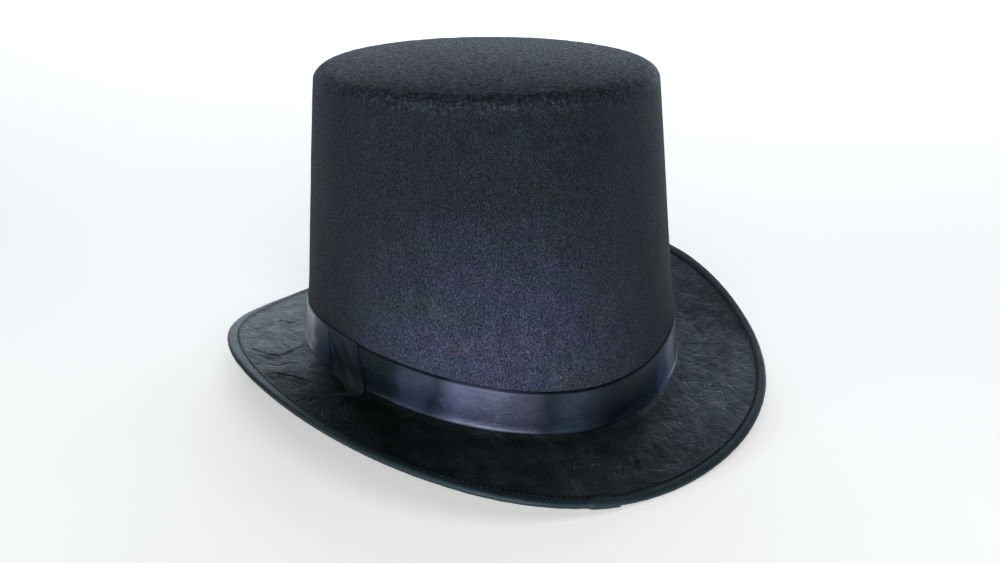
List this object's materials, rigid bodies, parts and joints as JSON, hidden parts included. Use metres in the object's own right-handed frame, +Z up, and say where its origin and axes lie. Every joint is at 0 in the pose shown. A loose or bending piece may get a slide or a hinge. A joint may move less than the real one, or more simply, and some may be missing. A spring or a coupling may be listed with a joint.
{
  "type": "top hat",
  "caption": "Tall oval felt crown, slightly tapered, on a wired saddle-shaped brim with folded satin binding, satin band, lining and sweatband; worn on the head.",
  "frame": {"origin": "centre of the hat's footprint, at the lowest point of the brim (the front and back of its binding), where it rests on a table", "axes": "+Z up through the crown, -Y the wearer's front, +X the wearer's left; the join of the hatband is on the wearer's right (-X)"},
  "size_m": [0.2714, 0.3006, 0.1669],
  "materials": {
    "black_felt": "matte brushed wool-type felt",
    "brim_felt": "matte pressed felt",
    "navy_black_satin": "satin",
    "binding_satin": "satin",
    "buckram": "stiffened open weave",
    "brim_board": "matte",
    "lining_satin": "satin",
    "sweatband_leatherette": "satin",
    "black_thread": "matte",
    "millinery_wire": "satin",
    "joiner_brass": "satin",
    "woven_label": "matte"
  },
  "bodies": {
    "root": {"crown_felt": "black_felt", "crown_stiffener": "buckram", "lining_side": "lining_satin", "lining_tip": "lining_satin", "lining_seam_thread": "black_thread", "sweatband": "sweatband_leatherette", "sweatband_thread": "black_thread", "care_label": "woven_label", "brim_top_cover": "brim_felt", "brim_core": "brim_board", "brim_under_cover": "brim_felt", "crown_brim_seam_thread": "black_thread", "brim_wire": "millinery_wire", "wire_joiner": "joiner_brass", "edge_binding": "binding_satin", "binding_thread_upper": "black_thread", "binding_thread_under": "black_thread", "hatband_ribbon": "navy_black_satin", "band_join_wrap": "navy_black_satin"}
  },
  "joints": []
}
